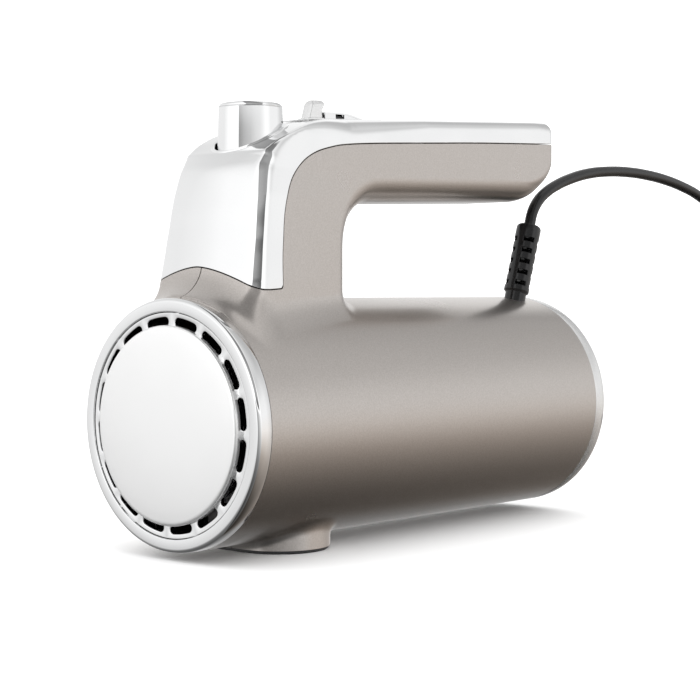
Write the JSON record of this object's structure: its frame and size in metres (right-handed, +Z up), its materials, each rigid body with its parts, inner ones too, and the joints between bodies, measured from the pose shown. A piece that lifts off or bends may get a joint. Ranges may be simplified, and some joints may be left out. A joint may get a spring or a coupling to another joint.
{
  "type": "electric hand mixer",
  "caption": "Electric hand mixer with a cylindrical body, a loop handle on a bright front neck, a beater release knob, a speed slider, a turbo button and a mains cord.",
  "frame": {"origin": "centre of the underside of the socket boss, midway between the two beater sockets", "axes": "+Z up, +Y rearward along the motor axis, +X towards the side that the picture shows"},
  "size_m": [0.1407, 0.4739, 0.1689],
  "materials": {
    "taupe_paint": "satin metallic paint on plastic",
    "chrome_trim": "polished chrome plating",
    "satin_metal": "fine satin silver",
    "black_plastic": "moulded black plastic",
    "black_rubber": "smooth black cord sheath",
    "steel": "machined",
    "aluminium": "cast",
    "brass": "turned",
    "copper": "enamelled windings",
    "circuit_board": "solder mask"
  },
  "bodies": {
    "housing": {"housing_left": "taupe_paint", "housing_right": "taupe_paint", "front_cover": "chrome_trim", "front_ring": "chrome_trim", "vent_grille": "satin_metal", "front_disc": "satin_metal", "rear_cap": "satin_metal", "base_plate": "black_plastic", "housing_screws": "steel", "eject_guide": "black_plastic", "eject_spring": "steel", "control_bezel": "chrome_trim", "speed_switch": "black_plastic", "turbo_spring": "steel", "turbo_switch": "black_plastic", "gearbox_frame": "aluminium", "front_bearing": "steel", "middle_bearing": "steel", "rear_bearing": "steel", "spindle_bushes": "brass", "stator_core": "steel", "field_coils": "copper", "motor_bracket": "black_plastic", "motor_bolts": "steel", "brush_holders": "brass", "carbon_brushes": "black_plastic", "control_board": "circuit_board", "strain_relief": "black_rubber", "power_cord": "black_rubber", "cord_coil": "black_rubber", "mains_plug": "black_rubber"},
    "ejector": {"eject_knob": "chrome_trim", "eject_fork": "steel"},
    "slider": {"speed_slider": "chrome_trim"},
    "turbo": {"turbo_button": "chrome_trim", "turbo_core": "black_plastic"},
    "rotor": {"worm_shaft": "steel", "cooling_fan": "black_plastic", "armature_core": "steel", "armature_winding": "copper", "commutator": "copper"},
    "left_spindle": {"spindle_left": "steel", "gear_left": "brass"},
    "right_spindle": {"spindle_right": "steel", "gear_right": "brass"}
  },
  "joints": [
    {"name": "eject_press", "type": "slide", "parent": "housing", "child": "ejector", "axis": [0, 0, -1], "range_m": [0, 0.007], "stiffness_N_per_m": 900, "springref_m": -0.004},
    {"name": "speed_slide", "type": "slide", "parent": "housing", "child": "slider", "axis": [0, -0.998, -0.064], "range_m": [0, 0.008]},
    {"name": "turbo_press", "type": "slide", "parent": "housing", "child": "turbo", "axis": [0, 0.064, -0.998], "range_m": [0, 0.002], "stiffness_N_per_m": 1200, "springref_m": -0.001},
    {"name": "motor_spin", "type": "hinge", "parent": "housing", "child": "rotor", "pos_m": [0, 0, 0.048], "axis": [0, 1, 0], "continuous": true},
    {"name": "left_spin", "type": "hinge", "parent": "housing", "child": "left_spindle", "pos_m": [-0.015, 0, 0], "axis": [0, 0, 1], "continuous": true},
    {"name": "right_spin", "type": "hinge", "parent": "housing", "child": "right_spindle", "pos_m": [0.015, 0, 0], "axis": [0, 0, 1], "continuous": true}
  ],
  "couplings": [
    {"joint": "left_spin", "follows": "motor_spin", "ratio": -0.045455},
    {"joint": "right_spin", "follows": "motor_spin", "ratio": 0.045455}
  ]
}
